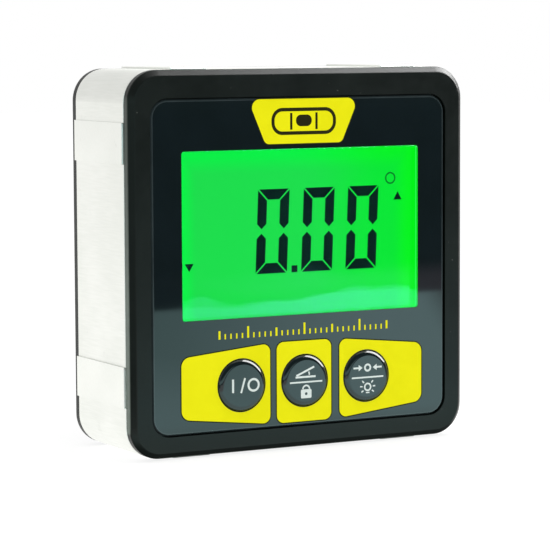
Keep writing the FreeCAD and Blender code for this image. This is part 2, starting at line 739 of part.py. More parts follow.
def display():
    display_layer("lcd_front_polarizer", floor_rear, dims.polarizer_thickness, dims.polarizer_margin)
    front_glass = rounded(glass_width, front_glass_height, dims.window_radius,
                          dims.window_shift, front_glass_middle)
    plate("lcd_front_glass", front_glass_face, dims.glass_thickness, front_glass)
    display_layer("lcd_rear_glass", rear_glass_face, dims.glass_thickness, glass_margin)
    display_layer("lcd_rear_polarizer", rear_polarizer_face, dims.polarizer_thickness,
                  dims.polarizer_margin)
    display_layer("diffuser_film", diffuser_face, dims.diffuser_thickness, dims.guide_margin)
    display_layer("light_guide", guide_face, dims.guide_thickness, dims.guide_margin)
    display_layer("reflector_film", reflector_face, dims.reflector_thickness, dims.guide_margin)

    lamps = []
    guide_top = window_middle + dims.window_height / 2 + dims.guide_margin
    for step in THREE:
        left = dims.window_shift + dims.lamp_pitch * step - dims.lamp_width / 2
        corner = (left, board_face - dims.lamp_depth, guide_top + dims.lamp_gap)
        size = (dims.lamp_width, dims.lamp_depth, dims.lamp_height)
        lamps.append(block(f"lamp_{step + 2}", corner, size))
    group("backlight_leds", lamps)

    holder = Piece("lcd_holder")
    for margin, shape in ((holder_edge, holder.pad), (dims.holder_gap, holder.pocket)):
        outline = rounded(glass_width + margin * 2, front_glass_height + margin * 2,
                          dims.window_radius + margin, dims.window_shift, front_glass_middle)
        shape(floor_rear, board_face - floor_rear, outline)
    holder.done()

    zebra_length = glass_width - dims.zebra_inset * 2
    corner = (dims.window_shift - zebra_length / 2, rear_glass_face,
              holder_low + holder_edge + dims.zebra_gap)
    zebra = block("zebra_strip", corner,
                  (zebra_length, board_face - rear_glass_face, dims.zebra_width))
    sub_parts.append(zebra)


# Board

def main_board():
    board = Piece("main_board")
    half_width = opening_width / 2 - dims.board_gap
    half_height = opening_height / 2 - dims.board_gap
    low = middle - half_height
    high = middle + half_height
    board.pad(board_face, dims.board_thickness, rectangle(-half_width, half_width, low, high))
    notch_across = corner_across - dims.boss_radius - dims.notch_gap
    notch_up = corner_up - dims.boss_radius - dims.notch_gap
    for across, up in CORNERS:
        left, right = in_order(half_width * across, notch_across * across)
        low, high = in_order(half_height * up, notch_up * up)
        board.pocket(board_face, dims.board_thickness,
                     rectangle(left, right, middle + low, middle + high))
    hole = dims.board_screw_radius + dims.screw_gap
    board.pocket(board_face, dims.board_thickness, *discs(hole, board_screw_places))
    return board.done()


def board_parts():
    up = middle + bay_height / 2 + dims.bay_wall + dims.chip_room + dims.chip_width / 2

    def on_board(label, x, width, height):
        corner = (x - width / 2, board_rear, up - width / 2)
        return block(label, corner, (width, height, width))

    chip = on_board("controller_chip", -dims.chip_pitch, dims.chip_width, dims.chip_height)
    sensor = on_board("tilt_sensor", as_size(0), dims.sensor_width, dims.sensor_height)
    sub_parts.extend([chip, sensor])

    crystal = doc.addObject("Part::Cylinder", "crystal")
    crystal.Placement.Rotation = FreeCAD.Rotation(FreeCAD.Vector(0, 1, 0), 90)
    bind(crystal, "Radius", dims.crystal_radius)
    bind(crystal, "Height", dims.crystal_length)
    left = dims.chip_pitch - dims.crystal_length / 2
    for axis, where in zip("xyz", (left, board_rear + dims.crystal_radius, up)):
        bind(crystal, f"Placement.Base.{axis}", where)
    sub_parts.append(crystal)

    capacitors = []
    for step in THREE:
        x = dims.chip_pitch + dims.capacitor_pitch * step
        corner = (x - dims.capacitor_length / 2, board_rear, up - dims.capacitor_pitch)
        size = (dims.capacitor_length, dims.capacitor_width, dims.capacitor_width)
        capacitors.append(block(f"capacitor_{step + 2}", corner, size))
    group("chip_capacitors", capacitors)


# Screws

def screw(name, place, seat, head_radius, head_height, radius, tip):
    """A cross-recessed screw whose head bears on its seat and faces the back."""
    x, z = place
    piece = Piece(name)
    piece.pad(tip, seat - tip, disc(radius, x, z))
    piece.pad(seat, head_height, disc(head_radius, x, z))
    long = dims.cross_length / 2
    short = dims.cross_width / 2
    level = seat + head_height - dims.cross_depth
    for wide, tall in ((long, short), (short, long)):
        piece.pocket(level, dims.cross_depth, rectangle(x - wide, x + wide, z - tall, z + tall))
    return piece.body


def screws():
    cover = [
        screw(f"cover_screw_{number}", place, head_seat, dims.head_radius, dims.head_height,
              dims.screw_radius, insert_face)
        for number, place in enumerate(corner_places, start=1)
    ]
    group("cover_screws", cover)

    board_tip = board_face - dims.board_screw_depth
    board = [
        screw(f"board_screw_{number}", place, board_rear, dims.board_head_radius,
              dims.board_head_height, dims.board_screw_radius, board_tip)
        for number, place in enumerate(board_screw_places, start=1)
    ]
    group("board_screws", board)

    door_head_height = door_head_depth - dims.door_head_below
    door = [
        screw(f"door_screw_{number}", place, door_head_seat, dims.head_radius,
              door_head_height, dims.screw_radius, door_screw_tip)
        for number, place in enumerate(door_screw_places, start=1)
    ]
    group("door_screws", door)


def threaded_inserts():
    inserts = []
    for number, (x, z) in enumerate(corner_places, start=1):
        insert = Piece(f"insert_{number}")
        insert.pad(insert_face, dims.insert_length, disc(dims.insert_radius, x, z),
                   disc(dims.screw_radius + dims.thread_gap, x, z))
        inserts.append(insert.body)
    group("threaded_inserts", inserts)


# Rear

def rear_cover():
    cover = Piece("rear_cover")
    cover.pad(frame_rear, dims.cover_back, body_outline())
    cover.soften("Chamfer", cover_face, dims.cover_chamfer)
    cover.soften("Fillet", cover_face, dims.cover_round)
    cover.soften("Fillet", cover_face - dims.cover_chamfer, dims.cover_round)
    skirt_face = frame_rear - dims.cover_skirt_depth
    cover.pad(skirt_face, dims.cover_skirt_depth, skirt_outline())
    cover.pocket(skirt_face, dims.cover_skirt_depth, inside_skirt(dims.cover_skirt_wall))
    cover.pad(bay_floor_face, frame_rear - bay_floor_face, bay_outline(dims.bay_wall))
    cover.pad(boss_joint, frame_rear - boss_joint, *discs(dims.boss_radius, corner_places))
    door_boss_face = door_screw_tip - dims.door_boss_end
    cover.pad(door_boss_face, frame_rear - door_boss_face,
              *discs(dims.door_boss_radius, door_screw_places))
    cover.pocket(bay_floor_rear, cover_face - bay_floor_rear, bay_outline(as_size(0)))
    door_recess = rounded(door_width, door_height, dims.door_radius, 0, middle)
    cover.pocket(door_seat, dims.door_thickness, door_recess)
    cover.pocket(door_seat - dims.door_seal_depth, dims.door_seal_depth,
                 *door_seal_outlines(as_size(0)))
    cover.pocket(frame_rear, dims.seal_depth, *seal_outlines(as_size(0)))
    hole = dims.screw_radius + dims.screw_gap
    cover.pocket(boss_joint, cover_face - boss_joint, *discs(hole, corner_places))
    head_hole = dims.head_radius + dims.head_gap
    cover.pocket(head_seat, cover_face - head_seat, *discs(head_hole, corner_places))
    thread = dims.screw_radius + dims.thread_gap
    depth = dims.door_screw_depth + dims.thread_gap
    cover.pocket(door_seat - depth, depth, *discs(thread, door_screw_places))
    half_tab = dims.tab_width / 2 + dims.tab_gap
    slots = [
        rectangle(contact_face - dims.tab_gap, bay_end, up - half_tab, up + half_tab)
        for up in cell_places
    ]
    cover.pocket(bay_floor_face, dims.bay_floor, *slots)
    return cover.done()


def battery_door():
    door = Piece("battery_door")
    gap = dims.door_gap * 2
    outline = rounded(door_width - gap, door_height - gap, dims.door_radius - dims.door_gap, 0, middle)
    door.pad(door_seat, dims.door_thickness, outline)
    door.soften("Chamfer", cover_face, dims.door_edge)
    hole = dims.screw_radius + dims.screw_gap
    door.pocket(door_seat, dims.door_thickness, *discs(hole, door_screw_places))
    head_hole = dims.head_radius + dims.head_gap
    door.pocket(door_head_seat, door_head_depth, *discs(head_hole, door_screw_places))
    door.done()
    plate("door_seal", door_seat - dims.door_seal_depth, dims.door_seal_depth,
          *door_seal_outlines(dims.seal_gap))


# Batteries and their contacts. The upper cell's nub is at the right, the lower cell's at the left.

def battery(label, up, nub_side):
    cell = Piece(label, "YZ_Plane")
    can_length = dims.cell_length - dims.nub_height
    nub_end = contact_face * nub_side
    if nub_side > 0:
        can_start = nub_end - dims.cell_length
        nub_start = nub_end - dims.nub_height
    else:
        can_start = nub_end + dims.nub_height
        nub_start = nub_end
    cell.pad(can_start, can_length, disc(dims.cell_radius, cell_level, up))
    cell.soften("Fillet", can_start, dims.cell_edge)
    cell.soften("Fillet", can_start + can_length, dims.cell_edge)
    cell.pad(nub_start, dims.nub_height, disc(dims.nub_radius, cell_level, up))
    cell.done()


def contact(label, side, ups, tab):
    """A flat contact against one end of the bay, with or without a tab to the board."""
    plate_low = cell_level - dims.contact_width / 2
    plate_high = cell_level + dims.contact_width / 2
    level = contact_face if side > 0 else -bay_end
    half = dims.contact_width / 2
    piece = Piece(label, "YZ_Plane")
    outline = rectangle(plate_low, plate_high, ups[0] - half, ups[-1] + half)
    piece.pad(level, dims.contact_thickness, outline)
    if tab:
        half_tab = dims.tab_width / 2
        outline = rectangle(board_rear, cell_level, ups[0] - half_tab, ups[0] + half_tab)
        piece.pad(level, dims.contact_thickness, outline)
    piece.done()


def spring(label, up, side):
    """A coil between a contact and the flat end of a cell."""
    piece = Piece(label, "XY_Plane")
    length = dims.spring_length - dims.spring_wire * 2
    wire_start = contact_face - dims.spring_wire
    start = wire_start - length if side > 0 else -wire_start
    profile = piece.sketch(up, [disc(dims.spring_wire, start, dims.spring_radius)], (0, cell_level))
    coil = piece.body.newObject("PartDesign::AdditiveHelix", f"{label}_coil")
    coil.Profile = profile
    coil.ReferenceAxis = (profile, ["H_Axis"])
    coil.Mode = "height-turns-angle"
    bind(coil, "Height", length)
    bind(coil, "Turns", dims.spring_turns)
    piece.done()


def power():
    low, high = cell_places
    battery("battery_lower", low, -1)
    battery("battery_upper", high, 1)
    contact("contact_link", -1, [low, high], False)
    contact("contact_negative", 1, [low], True)
    contact("contact_positive", 1, [high], True)
    spring("spring_lower", low, 1)
    spring("spring_upper", high, -1)


body_frame()
base_magnets()
frame_seals()
front_bezel()
front_overlay()
display_window()
buttons()
display()
main_board()
board_parts()
screws()
threaded_inserts()
rear_cover()
battery_door()
power()

doc.recompute()


# Checks before anything is written.

for thing in doc.Objects:
    if "Invalid" in thing.State or "Error" in thing.State:
        raise RuntimeError(f"{thing.Label} failed: {thing.State}")
    if thing.TypeId == "PartDesign::Pocket":
        if thing.Shape.Volume > thing.BaseFeature.Shape.Volume - TOUCH:
            raise RuntimeError(f"{thing.Label} cuts nothing")

os.makedirs("parts", exist_ok=True)
for sub_part in sub_parts:
    shape = sub_part.Shape
    if shape.isNull() or not shape.isValid() or not shape.Solids:
        raise RuntimeError(f"{sub_part.Label} has no valid solid")
    shape.exportStep(f"parts/{sub_part.Label}.step")
print(f"{len(sub_parts)} sub-parts written")
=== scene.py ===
# Looks of the inclinometer: finishes for its pieces, the print on its panel and its display.
#
# Lengths are in millimetres and are turned into metres where a mesh, a lamp or the camera is made.
# X runs to the right as the display is read, Y from the front to the back, Z up.

import json
import math

import bpy
from mathutils import Matrix, Vector


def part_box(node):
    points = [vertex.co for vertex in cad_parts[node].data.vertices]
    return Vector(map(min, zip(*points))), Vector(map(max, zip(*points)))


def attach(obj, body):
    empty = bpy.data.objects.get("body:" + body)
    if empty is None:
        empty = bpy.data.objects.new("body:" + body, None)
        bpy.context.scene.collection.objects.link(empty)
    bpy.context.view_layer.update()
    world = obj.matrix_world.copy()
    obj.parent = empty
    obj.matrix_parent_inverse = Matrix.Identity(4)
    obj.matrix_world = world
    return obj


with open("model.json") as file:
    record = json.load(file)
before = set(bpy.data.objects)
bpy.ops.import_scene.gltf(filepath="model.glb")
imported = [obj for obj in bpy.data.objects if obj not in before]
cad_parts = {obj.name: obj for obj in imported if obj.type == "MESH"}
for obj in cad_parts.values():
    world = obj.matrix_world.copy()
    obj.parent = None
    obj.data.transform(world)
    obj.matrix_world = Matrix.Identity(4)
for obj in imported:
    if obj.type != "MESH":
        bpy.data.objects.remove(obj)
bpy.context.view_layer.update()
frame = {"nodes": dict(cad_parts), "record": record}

MM = 0.001
SIDES = (-1, 1)


# Places that the printed and lit pieces follow

def box(node):
    """A node's lowest and highest corners, in millimetres."""
    return [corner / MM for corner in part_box(node)]


body_low, body_high = box("body_frame")
panel_low, panel_high = box("front_overlay")
bezel_low, bezel_high = box("front_bezel")
MIDDLE = (body_low.z + body_high.z) / 2
PANEL_FACE = panel_low.y
DISPLAY_FACE = box("lcd_front_polarizer")[0].y
BUTTON_FACE = box("button_power")[0].y


def button_place(name):
    """The middle of a button's face: across, and up from the middle of the case."""
    low, high = box(f"button_{name}")
    return (low.x + high.x) / 2, (low.z + high.z) / 2 - MIDDLE


# Node trees

class Wire:
    """A socket of a finish. The arithmetic signs between wires and numbers add Math nodes."""

    def __init__(self, finish, socket):
        self.finish = finish
        self.socket = socket

    def __add__(self, other):
        return self.finish.maths("ADD", self, other)

    def __radd__(self, other):
        return self.finish.maths("ADD", other, self)

    def __sub__(self, other):
        return self.finish.maths("SUBTRACT", self, other)

    def __rsub__(self, other):
        return self.finish.maths("SUBTRACT", other, self)

    def __mul__(self, other):
        return self.finish.maths("MULTIPLY", self, other)

    def __rmul__(self, other):
        return self.finish.maths("MULTIPLY", other, self)

    def __truediv__(self, other):
        return self.finish.maths("DIVIDE", self, other)

    def __pow__(self, other):
        return self.finish.maths("POWER", self, other)

    def __abs__(self):
        return self.finish.maths("ABSOLUTE", self)

    def __gt__(self, other):
        return self.finish.maths("GREATER_THAN", self, other)

    def __lt__(self, other):
        return self.finish.maths("LESS_THAN", self, other)


class Finish:
    """A node tree, of a material or of the world, that is filled one node at a time."""

    def __init__(self, owner):
        owner.use_nodes = True
        self.owner = owner
        self.tree = owner.node_tree
        self.tree.nodes.clear()

    def node(self, kind, settings=None, sockets=None, output=0):
        """Adds a node. Its settings are made first, then its sockets get a value or a wire."""
        made = self.tree.nodes.new(kind)
        for name, value in (settings or {}).items():
            setattr(made, name, value)
        for name, value in (sockets or {}).items():
            if isinstance(value, Wire):
                self.tree.links.new(value.socket, made.inputs[name])
            else:
                made.inputs[name].default_value = value
        return Wire(self, made.outputs[output]) if made.outputs else made

    def maths(self, operation, *values):
        return self.node("ShaderNodeMath", {"operation": operation}, dict(enumerate(values)))

    def sine(self, value):
        return self.maths("SINE", value)

    def larger(self, first, second):
        return self.maths("MAXIMUM", first, second)

    def noise(self, place, scale, detail=3.0, roughness=0.5):
        sockets = {"Vector": place, "Scale": scale, "Detail": detail, "Roughness": roughness}
        return self.node("ShaderNodeTexNoise", {}, sockets)

    def between(self, value, low, high, start=0.0, end=1.0):
        """The value on its way from low to high, as a smooth step from start to end."""
        sockets = {
            "Value": value, "From Min": low, "From Max": high, "To Min": start, "To Max": end,
        }
        return self.node("ShaderNodeMapRange", {"interpolation_type": "SMOOTHSTEP"}, sockets)

    def blend(self, share, first, second):
        """The first colour where the share is 0, and the second where it is 1."""
        return self.node("ShaderNodeMix", {"data_type": "RGBA"}, {0: share, 6: first, 7: second}, 2)

    def bump(self, height, distance, edge=0.0):
        """A relief of that depth, on a surface whose sharp edges are rounded by a radius."""
        sockets = {"Height": height, "Distance": distance * MM}
        if edge:
            sockets["Normal"] = self.node("ShaderNodeBevel", {"samples": 6}, {"Radius": edge * MM})
        return self.node("ShaderNodeBump", {}, sockets)

    def place(self):
        """Where a point is, in the object's own space."""
        return self.node("ShaderNodeTexCoord", {}, {}, "Object")

    def parts(self, vector):
        """A vector's three numbers."""
        return [
            self.node("ShaderNodeSeparateXYZ", {}, {"Vector": vector}, axis)
            for axis in range(3)
        ]

    def stretched(self, place, *scales):
        return self.node("ShaderNodeMapping", {}, {"Vector": place, "Scale": scales})

    def principled(self, sockets):
        shader = self.node("ShaderNodeBsdfPrincipled", {}, sockets)
        self.node("ShaderNodeOutputMaterial", {}, {"Surface": shader})
        return self.owner


def screen(red, green, blue):
    """A screen colour, from 0 to 255, as linear light."""
    def linear(shade):
        return shade / 12.92 if shade <= 0.04045 else ((shade + 0.055) / 1.055) ** 2.4

    return tuple(linear(shade / 255) for shade in (red, green, blue)) + (1.0,)


WHITE = screen(255, 255, 255)


def new_finish(name):
    return Finish(bpy.data.materials.new(name))


# Finishes

def frame_metal():
    """Satin aluminium. The raised lands are ground, with finer and more even lines."""
    made = new_finish("satin_aluminium")
    place = made.place()
    across, along, up = made.parts(place)
    land = made.larger(abs(across), abs(up - MIDDLE * MM)) > (body_high.x - 0.15) * MM
    drawn = made.noise(made.stretched(place, 900, 60, 900), 4.0, 5.0)
    ground = made.noise(made.stretched(place, 500, 2600, 500), 3.0, 4.0)
    lines = drawn + (ground - drawn) * land
    cloud = made.noise(place, 70.0, 4.0)
    wear_and_sheen = made.between(made.noise(place, 260.0, 6.0, 0.7), 0.62, 0.74)
    tone = made.between(cloud * 0.6 + lines * 0.4, 0.3, 0.7)
    shade = made.blend(tone, screen(242, 243, 239), screen(232, 234, 229))
    return made.principled({
        "Base Color": made.blend(wear_and_sheen * 0.25, shade, screen(206, 208, 204)),
        "Metallic": 1.0,
        "Roughness": 0.36 - land * 0.06 + (lines + cloud - 1.0) * 0.08 + wear_and_sheen * 0.05,
        "Normal": made.bump(lines, 0.0025),
    })


def metal(name, shade, dull, roughness, stretch=(60, 60, 60)):
    """Plated or turned metal with fine lines and a faint uneven tone."""
    made = new_finish(name)
    place = made.place()
    fine = made.noise(made.stretched(place, *stretch), 12.0, 4.0)
    cloud = made.noise(place, 90.0)
    return made.principled({
        "Base Color": made.blend(made.between(cloud * 0.7 + fine * 0.3, 0.3, 0.7), shade, dull),
        "Metallic": 1.0,
        "Roughness": roughness + (fine + cloud - 1.0) * 0.06,
        "Normal": made.bump(fine, 0.002),
    })


def moulded(
    name, shade, lighter, roughness, grain=0.012, dusty=0.0, specular=0.5, wear_and_sheen=0.0
):
    """Finely sparked plastic, uneven in tone and a little dusty, with a painted sheen on its outer
    sides, stronger lower down.
    """
    made = new_finish(name)
    place = made.place()
    spark = made.noise(place, 3200.0, 2.0)
    coarse = made.noise(place, 900.0, 3.0)
    cloud = made.noise(place, 120.0, 4.0)
    tone = made.between(cloud, 0.35, 0.68)
    body = made.blend(tone * 0.6 + spark * 0.4, shade, lighter)
    speck = made.between(made.noise(place, 1700.0, 1.0), 0.73, 0.8)
    dust = speck * made.between(cloud, 0.52, 0.62)
    across, along, up = made.parts(place)
    reach = made.larger(abs(across), abs(up - MIDDLE * MM))
    # Painted sheen: the outer sides are blended towards a pale greenish grey, more strongly lower
    # down.
    low = made.between(up, 15.0 * MM, 55.0 * MM, 1.3, 0.4)
    side = made.between(reach, (bezel_high.x - 0.15) * MM, (bezel_high.x - 0.02) * MM)
    side_sheen = side * (0.7 + coarse * 0.6) * low
    with_side_sheen = made.blend(side_sheen * wear_and_sheen, body, screen(124, 136, 127))
    return made.principled({
        "Base Color": made.blend(dust * dusty, with_side_sheen, screen(150, 152, 146)),
        "Roughness": roughness + (coarse - 0.5) * 0.12 + (cloud - 0.5) * 0.1,
        "Specular IOR Level": specular,
        "Normal": made.bump(spark * 0.6 + coarse * 0.4, grain),
    })


def gloss(name, shade, lighter, roughness, smears=0.05, specular=0.5):
    """Polished plastic or smooth ink, with a faint uneven tone and faint smears."""
    made = new_finish(name)
    place = made.place()
    cloud = made.noise(place, 160.0, 4.0, 0.6)
    smear = made.between(made.noise(made.stretched(place, 220, 220, 70), 1.0, 4.0, 0.6), 0.5, 0.75)
    return made.principled({
        "Base Color": made.blend(made.between(cloud, 0.3, 0.7), shade, lighter),
        "Roughness": roughness + smear * smears,
        "Specular IOR Level": specular,
    })


PANEL_CORNER = 2.8


def panel_gloss():
    """The front panel's black gloss, with a painted highlight: a paler band along its rounded outer
    edge.
    """
    made = new_finish("panel_gloss")
    place = made.place()
    across, along, up = made.parts(place)
    middle = (panel_low + panel_high) / 2
    half = (panel_high - panel_low) / 2
    beside = made.larger(abs(across - middle.x * MM) - (half.x - PANEL_CORNER) * MM, 0.0)
    above = made.larger(abs(up - middle.z * MM) - (half.z - PANEL_CORNER) * MM, 0.0)
    inside = PANEL_CORNER * MM - (beside ** 2 + above ** 2) ** 0.5
    # Painted highlight: a paler, rougher band along the panel's rounded outer edge.
    edge = made.between(inside, 0.3 * MM, 0.42 * MM, 1.0, 0.0)
    cloud = made.noise(place, 160.0, 4.0, 0.6)
    smear = made.between(made.noise(made.stretched(place, 220, 220, 70), 1.0, 4.0, 0.6), 0.5, 0.75)
    shade = made.blend(made.between(cloud, 0.3, 0.7), screen(8, 20, 22), screen(11, 23, 26))
    pale = made.blend(cloud, screen(44, 54, 56), screen(58, 68, 70))
    return made.principled({
        "Base Color": made.blend(edge * (0.55 + cloud * 0.5), shade, pale),
        "Roughness": 0.035 + smear * 0.03 + edge * 0.1,
    })


WAVES_TO_THE_RIGHT = 22.6


def clear(name, shade, ior, roughness=0.0, wave_depth=0.0, edge=0.0, tint=WHITE):
    """A clear piece, with a trace of moulding waves, and a tint in what its faces reflect."""
    made = new_finish(name)
    shift = {"Vector": made.place(), "Location": (-WAVES_TO_THE_RIGHT * MM, 0, 0)}
    wave = made.noise(made.node("ShaderNodeMapping", {}, shift), 70.0, 1.0)
    return made.principled({
        "Base Color": made.blend(wave, shade, WHITE),
        "Roughness": roughness + wave * 0.01,
        "Transmission Weight": 1.0,
        "Specular Tint": tint,
        "IOR": ior,
        "Normal": made.bump(wave, wave_depth, edge),
    })


def lit_display():
    """The display's face, lit from behind: purer green to the right and towards three edges.

    A pale line along its right and left ends is a painted highlight of the window's edges.
    """
    made = new_finish("lit_display")
    place = made.place()
    across, along, up = made.parts(place)
    across = across / MM
    up = up / MM
    fine = made.noise(place, 900.0, 2.0)
    inner = made.blend(made.between(across, 0.0, 17.0), screen(26, 221, 74), screen(0, 231, 46))
    outer = made.blend(made.between(across, -5.0, 19.0), screen(0, 243, 68), screen(0, 244, 16))
    left = made.between(across, -17.5, -20.5, 0.0, 1.0)
    right = made.between(across, 17.0, 20.5)
    top = made.between(up, 43.2, 46.8, 0.0, 0.9)
    edge = made.larger(made.larger(left, right), top)
    # Painted highlight: pale lines at the right and left ends, standing in for light off the window's
    # edges.
    rim_highlight = made.between(across, 21.6, 21.9) + made.between(across, -20.1, -20.4, 0.0, 0.3)
    lit = made.blend(rim_highlight, made.blend(edge, inner, outer), screen(90, 252, 170))
    return made.principled({
        "Base Color": made.blend(edge, screen(8, 50, 20), screen(4, 60, 14)),
        "Roughness": 0.5 + fine * 0.05,
        "Specular IOR Level": 0.0,
        "Emission Color": made.blend(fine * 0.08, lit, screen(14, 236, 60)),
        "Emission Strength": 1.0,
    })


def solder_mask():
    """The board's green coat, over tracks that stand out a little."""
    made = new_finish("solder_mask")
    place = made.place()
    across, along, up = made.parts(place)
    turn = math.tau / (1.27 * MM)
    wander = made.noise(place, 120.0, 1.0) * (2.0 * MM)
    upright = made.sine((across + wander) * turn)
    level = made.sine((up - wander) * turn)
    patch = made.noise(place, 110.0, 0.0) > 0.5
    track = made.between(upright + (level - upright) * patch, 0.45, 0.7)
    return made.principled({
        "Base Color": made.blend(track, screen(14, 74, 40), screen(34, 110, 60)),
        "Roughness": 0.3 + made.noise(place, 600.0) * 0.1,
        "Normal": made.bump(track, 0.03),
    })


def cell_wrap():
    """A cell's printed wrap, dark with a copper band towards its positive end."""
    made = new_finish("cell_wrap")
    place = made.place()
    across, along, up = made.parts(place)
    towards_nub = across * ((up > MIDDLE * MM) * 2.0 - 1.0)
    band = made.between(towards_nub, 12.0 * MM, 12.1 * MM)
    ring = abs(towards_nub - 11.4 * MM) < 0.25 * MM
    cloud = made.noise(place, 200.0, 3.0)
    dark = made.blend(cloud, screen(34, 38, 44), screen(48, 52, 58))
    copper = made.blend(cloud, screen(176, 112, 62), screen(196, 132, 80))
    printed = made.blend(ring, made.blend(band, dark, copper), screen(206, 206, 200))
    bare = made.between(abs(across), 22.4 * MM, 22.5 * MM)
    return made.principled({
        "Base Color": made.blend(bare, printed, screen(190, 190, 188)),
        "Metallic": bare,
        "Roughness": 0.28 + cloud * 0.08,
    })


def layered_rubber():
    """The connector's thin conducting layers."""
    made = new_finish("layered_rubber")
    across, along, up = made.parts(made.place())
    layer = made.sine(across * (math.tau / (0.18 * MM))) > 0.0
    return made.principled({
        "Base Color": made.blend(layer, screen(60, 60, 62), screen(150, 146, 150)),
        "Roughness": 0.6 + layer * 0.05,
    })


FINISHES = {
    "frame_metal": frame_metal(),
    # The bezel's last number is the strength of the painted sheen on its outer sides.
    "bezel_black": moulded(
        "bezel_plastic", screen(9, 15, 12), screen(15, 22, 19), 0.33, 0.01, 0.25, 0.19, 0.5
    ),
    "cover_black": moulded(
        "cover_plastic", screen(15, 20, 18), screen(22, 27, 25), 0.4, 0.012, 0.2, 0.3
    ),
    "panel_black": panel_gloss(),
    "window_clear": clear("window_plastic", WHITE, 1.5, 0.01, 0.08, 0.15, (0.3, 0.5, 1.0, 1)),
    "button_black": gloss("button_gloss", screen(8, 20, 22), screen(12, 24, 26), 0.09),
    "rubber_black": moulded("seal_rubber", screen(24, 24, 25), screen(36, 36, 36), 0.75, 0.01),
    "display_lit": lit_display(),
    "display_glass": clear("display_glass", screen(232, 244, 238), 1.5),
    "polarizer_film": gloss("polarizer_film", screen(36, 42, 40), screen(46, 52, 50), 0.2),
    "diffuser_white": moulded(
        "diffuser_film", screen(226, 228, 224), screen(238, 239, 236), 0.6, 0.004
    ),
    "guide_clear": clear("light_guide", screen(236, 244, 240), 1.49, 0.05),
    "reflector_silver": metal("reflector_film", screen(226, 228, 230), screen(212, 214, 216), 0.16),
    "lamp_green": gloss("lamp_green", screen(120, 220, 120), screen(150, 236, 150), 0.2),
    "holder_white": moulded(
        "holder_plastic", screen(214, 214, 208), screen(224, 224, 219), 0.5, 0.008
    ),
    "zebra_grey": layered_rubber(),
    "board_green": solder_mask(),
    "chip_black": moulded("chip_resin", screen(30, 30, 32), screen(40, 40, 42), 0.55, 0.006),
    "part_steel": metal("crystal_can", screen(196, 198, 198), screen(182, 184, 184), 0.28),
    "capacitor_tan": moulded(
        "capacitor_clay", screen(168, 132, 92), screen(184, 148, 106), 0.5, 0.004
    ),
    "switch_steel": metal("switch_steel", screen(190, 192, 192), screen(176, 178, 178), 0.34),
    "plunger_black": moulded("plunger_plastic", screen(30, 30, 32), screen(42, 42, 44), 0.5, 0.006),
    "screw_steel": metal("screw_steel", screen(172, 174, 176), screen(150, 152, 155), 0.26),
    "insert_brass": metal("insert_brass", screen(206, 172, 98), screen(188, 152, 82), 0.3),
    "magnet_nickel": metal("magnet_nickel", screen(206, 204, 198), screen(192, 190, 184), 0.2),
    "cell_wrap": cell_wrap(),
    "contact_nickel": metal("contact_nickel", screen(208, 206, 200), screen(190, 188, 182), 0.24),
}
for part in frame["record"]["subparts"]:
    slots = frame["nodes"][part["node"]].data.materials
    for place in range(len(slots)):
        slots[place] = FINISHES[part["material_slot"]]


# Outlines of the print, across and up from the middle of the case

def arc(x, z, radius, start, end, steps=12):
    """Points on an arc about a middle, its ends in degrees."""
    angles = [math.radians(start + (end - start) * step / steps) for step in range(steps + 1)]
    return [(x + radius * math.cos(angle), z + radius * math.sin(angle)) for angle in angles]


def circle(x, z, radius, steps=48):
    return arc(x, z, radius, 0, 360 * (steps - 1) / steps, steps - 1)


def rounded(corners, radii):
    """A polygon with its corners rounded by arcs that touch both of their sides."""
    points = []
    for place, corner in enumerate(corners):
        corner = Vector(corner)
        back = (Vector(corners[place - 1]) - corner).normalized()
        ahead = (Vector(corners[(place + 1) % len(corners)]) - corner).normalized()
        half = back.angle(ahead) / 2
        middle = corner + (back + ahead).normalized() * radii[place] / math.sin(half)
        first = corner + back * radii[place] / math.tan(half) - middle
        last = corner + ahead * radii[place] / math.tan(half) - middle
        for step in range(9):
            points.append(tuple(middle + first.lerp(last, step / 8).normalized() * radii[place]))
    return points


def grown(corners, width):
    """A polygon without inward corners, each side moved outwards by a width."""
    middle = sum((Vector(corner) for corner in corners), Vector((0, 0))) / len(corners)
    sides = []
    for place, corner in enumerate(corners):
        start = Vector(corner)
        run = Vector(corners[(place + 1) % len(corners)]) - start
        out = Vector((run.y, -run.x)).normalized()
        if out.dot(start - middle) < 0:
            out = -out
        sides.append((start + out * width, run))
    moved = []
    for place, (start, run) in enumerate(sides):
        before, before_run = sides[place - 1]
        gap = start - before
        share = (gap.x * run.y - gap.y * run.x) / (before_run.x * run.y - before_run.y * run.x)
        moved.append(tuple(before + before_run * share))
    return moved


def block(left, right, low, high):
    return [(left, low), (right, low), (right, high), (left, high)]


def stroke(start, end, width):
    """A straight bar of that width between two points."""
    start = Vector(start)
    end = Vector(end)
    run = (end - start).normalized() * width / 2
    side = Vector((-run.y, run.x))
    return [tuple(point) for point in (start - side, end - side, end + side, start + side)]


def bend(x, z, radius, start, end, width):
    """A bar of that width along an arc."""
    outer = arc(x, z, radius + width / 2, start, end)
    inner = arc(x, z, radius - width / 2, end, start)
    return outer + inner


def ring(x, z, radius, width):
    return [circle(x, z, radius + width / 2), circle(x, z, radius - width / 2)]


